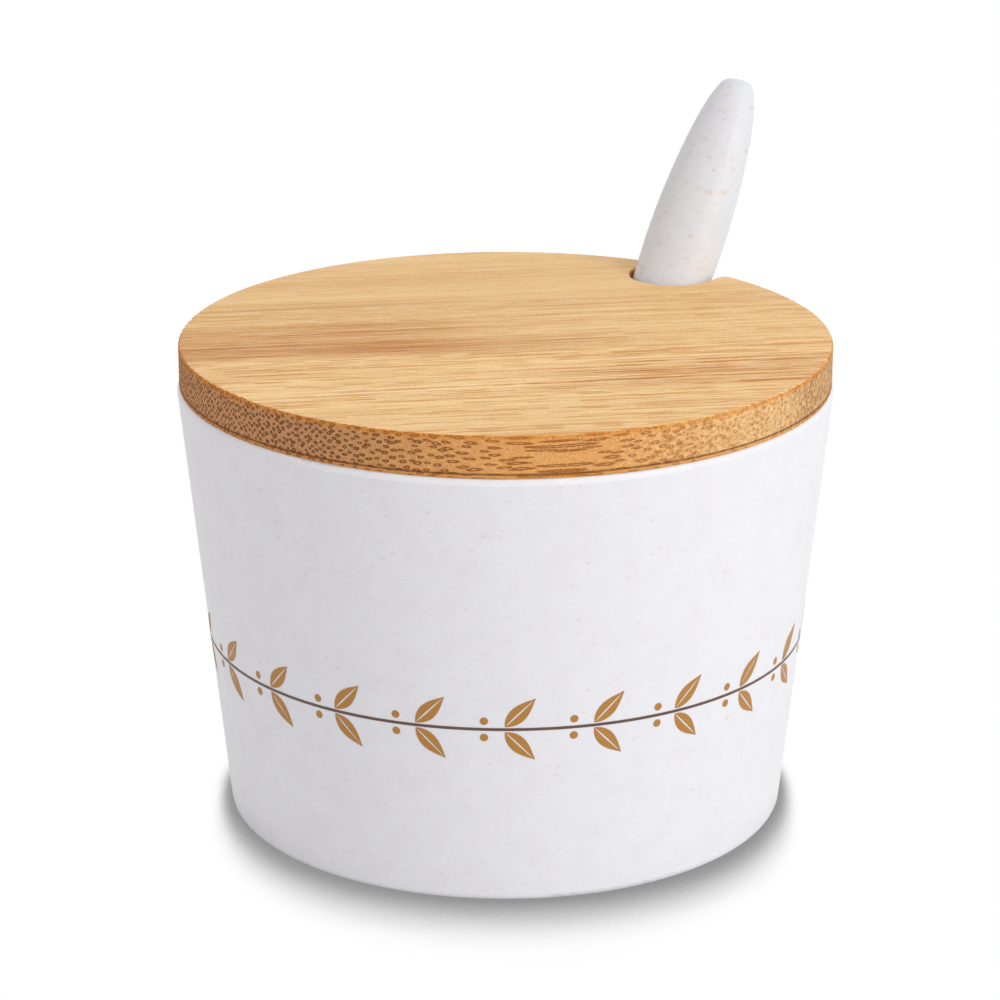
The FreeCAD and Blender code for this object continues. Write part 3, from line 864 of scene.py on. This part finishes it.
def bowl_wall(height):
    """The bowl's outer radius at a height, and how fast it grows with height, read from the frame."""
    places = [vertex.co for vertex in frame["nodes"]["bowl"].data.vertices]
    top = max(place.z for place in places)
    low = max((place for place in places if place.z < LOW_SHARE * top), key=lambda place: place.xy.length)
    high = max((place for place in places if place.z > HIGH_SHARE * top), key=lambda place: place.xy.length)
    taper = (high.xy.length - low.xy.length) / (high.z - low.z)
    return low.xy.length + (height - low.z) * taper, taper


# Stage

# Distance of the lamp from the dish and radius of the floor, in metres
KEY_DISTANCE = 0.9
FLOOR_RADIUS = 3.0
FLOOR_SIDES = 96

# Width of the camera's sensor, in millimetres
SENSOR_WIDTH = 36

# Rays that look for the dish from each point of the floor
CONTACT_RAYS = 16


def view_direction(turn, height):
    """The direction from the dish to something at a turn and a height above the horizon."""
    return Vector((math.sin(turn) * math.cos(height), -math.cos(turn) * math.cos(height), math.sin(height)))


def hang_lamp(look):
    """A large soft lamp that faces the dish from the camera's right."""
    data = bpy.data.lights.new("key_lamp", "AREA")
    data.shape = "SQUARE"
    data.size = look.key_size
    data.energy = look.key_power
    lamp = bpy.data.objects.new("key_lamp", data)
    bpy.context.scene.collection.objects.link(lamp)
    back = view_direction(look.azimuth + look.key_turn, look.key_height)
    lamp.location = Vector((0, 0, look.aim_height)) + back * KEY_DISTANCE
    lamp.rotation_euler = (-back).to_track_quat("-Z", "Y").to_euler()


def seen_directly(graph):
    """1 where a ray comes from the camera, or from it by way of gloss or glass."""
    path = graph.add("ShaderNodeLightPath").outputs
    seen = graph.sums("MAXIMUM", path["Is Camera Ray"], path["Is Glossy Ray"])
    return graph.sums("MAXIMUM", seen, path["Is Transmission Ray"])


def shadow_reach(graph, look):
    """How far a point of the floor looks for the dish: furthest in front of it."""
    toward = view_direction(look.azimuth, 0)
    x, y, z = graph.parts(graph.millimetres())
    forward = graph.line(x, toward.x, graph.times(y, toward.y))
    distance = graph.sums("SQRT", graph.line(x, x, graph.times(y, y)))
    ahead = graph.sums("MAXIMUM", graph.sums("DIVIDE", forward, distance), 0.0)
    rise = look.front_shadow - look.side_shadow
    return graph.line(graph.times(ahead, ahead), rise, look.side_shadow)


def floor_finish(look):
    """White floor that keeps the soft shadow round the foot."""
    material = bpy.data.materials.new("stage_floor")
    material.use_nodes = True
    tree = material.node_tree
    tree.nodes.clear()
    graph = Graph(tree)
    matt = graph.add("ShaderNodeBsdfDiffuse")
    matt.inputs["Color"].default_value = (*look.floor, 1)
    closeness = graph.add("ShaderNodeAmbientOcclusion", samples=CONTACT_RAYS)
    graph.feed(closeness.inputs["Distance"], shadow_reach(graph, look))
    light = graph.ease(closeness.outputs["AO"], 0.5, 0.8)
    white = graph.add("ShaderNodeEmission")
    graph.feed(white.inputs["Strength"], graph.line(light, 0.7, 0.3))
    chosen = graph.add("ShaderNodeMixShader")
    graph.feed(chosen.inputs[0], seen_directly(graph))
    graph.feed(chosen.inputs[1], matt.outputs[0])
    graph.feed(chosen.inputs[2], white.outputs[0])
    graph.feed(graph.add("ShaderNodeOutputMaterial").inputs["Surface"], chosen.outputs[0])
    return material


def light_the_world(look):
    """White behind the dish, and soft light from all round it."""
    world = bpy.data.worlds.new("stage_world")
    bpy.context.scene.world = world
    world.use_nodes = True
    world.node_tree.nodes.clear()
    graph = Graph(world.node_tree)
    fill = graph.add("ShaderNodeBackground")
    fill.inputs["Color"].default_value = (*look.fill, 1)
    fill.inputs["Strength"].default_value = look.fill_strength
    white = graph.add("ShaderNodeBackground")
    white.inputs["Color"].default_value = (1, 1, 1, 1)
    chosen = graph.add("ShaderNodeMixShader")
    graph.feed(chosen.inputs[0], seen_directly(graph))
    graph.feed(chosen.inputs[1], fill.outputs[0])
    graph.feed(chosen.inputs[2], white.outputs[0])
    graph.feed(graph.add("ShaderNodeOutputWorld").inputs["Surface"], chosen.outputs[0])


def lay_floor(look):
    """A wide round floor under the dish."""
    turns = [2 * math.pi * step / FLOOR_SIDES for step in range(FLOOR_SIDES)]
    rim = [(FLOOR_RADIUS * math.cos(turn), FLOOR_RADIUS * math.sin(turn), 0.0) for turn in turns]
    mesh = bpy.data.meshes.new("stage_floor")
    mesh.from_pydata(rim, [], [list(range(FLOOR_SIDES))])
    mesh.materials.append(floor_finish(look))
    floor = bpy.data.objects.new("stage_floor", mesh)
    bpy.context.scene.collection.objects.link(floor)


def set_camera(look):
    """Stand the camera where the photograph was taken from."""
    right = Vector((math.cos(look.azimuth), math.sin(look.azimuth), 0))
    aim = Vector((0, 0, look.aim_height)) + right * look.aim_side
    back = view_direction(look.azimuth, look.elevation)
    data = bpy.data.cameras.new("photo_camera")
    data.lens = look.lens
    data.sensor_width = SENSOR_WIDTH
    camera = bpy.data.objects.new("photo_camera", data)
    bpy.context.scene.collection.objects.link(camera)
    camera.location = aim + back * look.distance
    camera.rotation_euler = (-back).to_track_quat("-Z", "Y").to_euler()
    bpy.context.scene.camera = camera


# Operators

class DressBowl(bpy.types.Operator):
    """Give the bowl its speckled pressed-ware finish"""
    bl_idname = "honey_dish.bowl"
    bl_label = "Bowl"

    def execute(self, context):
        cover("bowl", ware_finish("bowl_ware", context.scene.bowl_look))
        return {"FINISHED"}


class DressSpoon(bpy.types.Operator):
    """Give the spoon its speckled pressed-ware finish"""
    bl_idname = "honey_dish.spoon"
    bl_label = "Spoon"

    def execute(self, context):
        cover("spoon", ware_finish("spoon_ware", context.scene.spoon_look))
        return {"FINISHED"}


class DressLid(bpy.types.Operator):
    """Give each strip of the lid its own piece of wood"""
    bl_idname = "honey_dish.lid"
    bl_label = "Lid strips"

    def execute(self, context):
        for node in LID_STRIPS:
            cover(node, wood_finish(node, context.scene.lid_look))
        return {"FINISHED"}


class PrintBand(bpy.types.Operator):
    """Print the leaf band round the bowl"""
    bl_idname = "honey_dish.band"
    bl_label = "Leaf band"

    def execute(self, context):
        look = context.scene.band_look
        radius, taper = bowl_wall(look.height)
        wall = {"Wall radius": radius, "Taper": taper, "Height": look.height, "Film": look.film}
        wall["Stem width"] = look.stem_width
        stem = grown_mesh("print_stem", stem_tree(), {**wall, "Ink": print_finish("stem_ink", look.stem)})
        leaves = grown_mesh("print_leaves", leaf_tree(), {
            **wall,
            "Pair Count": look.leaf_pairs,
            "Leaf length": look.leaf_length,
            "Leaf width": look.leaf_width,
            "Leaf lean": look.leaf_lean,
            "Vein gap": look.vein_gap,
            "Berry radius": look.berry_radius,
            "Ink": print_finish("leaf_ink", look.leaf),
        })
        for piece, slot in ((stem, "print_stem"), (leaves, "print_leaf")):
            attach(piece, "bowl")
        return {"FINISHED"}


class SetStage(bpy.types.Operator):
    """Lay the floor, hang the lamp and place the camera"""
    bl_idname = "honey_dish.stage"
    bl_label = "Stage"

    def execute(self, context):
        look = context.scene.stage_look
        context.scene.view_settings.view_transform = "Standard"
        light_the_world(look)
        lay_floor(look)
        hang_lamp(look)
        set_camera(look)
        return {"FINISHED"}


class DishPanel(bpy.types.Panel):
    """Lists the steps that dress the dish"""
    bl_idname = "HONEY_DISH_PT_steps"
    bl_label = "Honey dish"
    bl_space_type = "VIEW_3D"
    bl_region_type = "UI"
    bl_category = "Honey dish"

    def draw(self, context):
        for step in STEPS:
            self.layout.operator(step.bl_idname, text=step.bl_label)


STEPS = (DressBowl, DressSpoon, DressLid, PrintBand, SetStage)
LOOKS = {
    "bowl_look": BowlLook,
    "spoon_look": SpoonLook,
    "lid_look": LidLook,
    "band_look": BandLook,
    "stage_look": StageLook,
}


def register():
    """Make the settings, steps and panel known."""
    for kind in (*LOOKS.values(), *STEPS, DishPanel):
        bpy.utils.register_class(kind)
    for name, kind in LOOKS.items():
        setattr(bpy.types.Scene, name, PointerProperty(type=kind))


def unregister():
    """Take the settings, steps and panel away again."""
    for name in LOOKS:
        delattr(bpy.types.Scene, name)
    for kind in (DishPanel, *reversed(STEPS), *reversed(LOOKS.values())):
        bpy.utils.unregister_class(kind)


def main():
    """Dress the dish step by step."""
    register()
    bpy.ops.honey_dish.bowl()
    bpy.ops.honey_dish.spoon()
    bpy.ops.honey_dish.lid()
    bpy.ops.honey_dish.band()
    bpy.ops.honey_dish.stage()


if __name__ == "__main__":
    main()
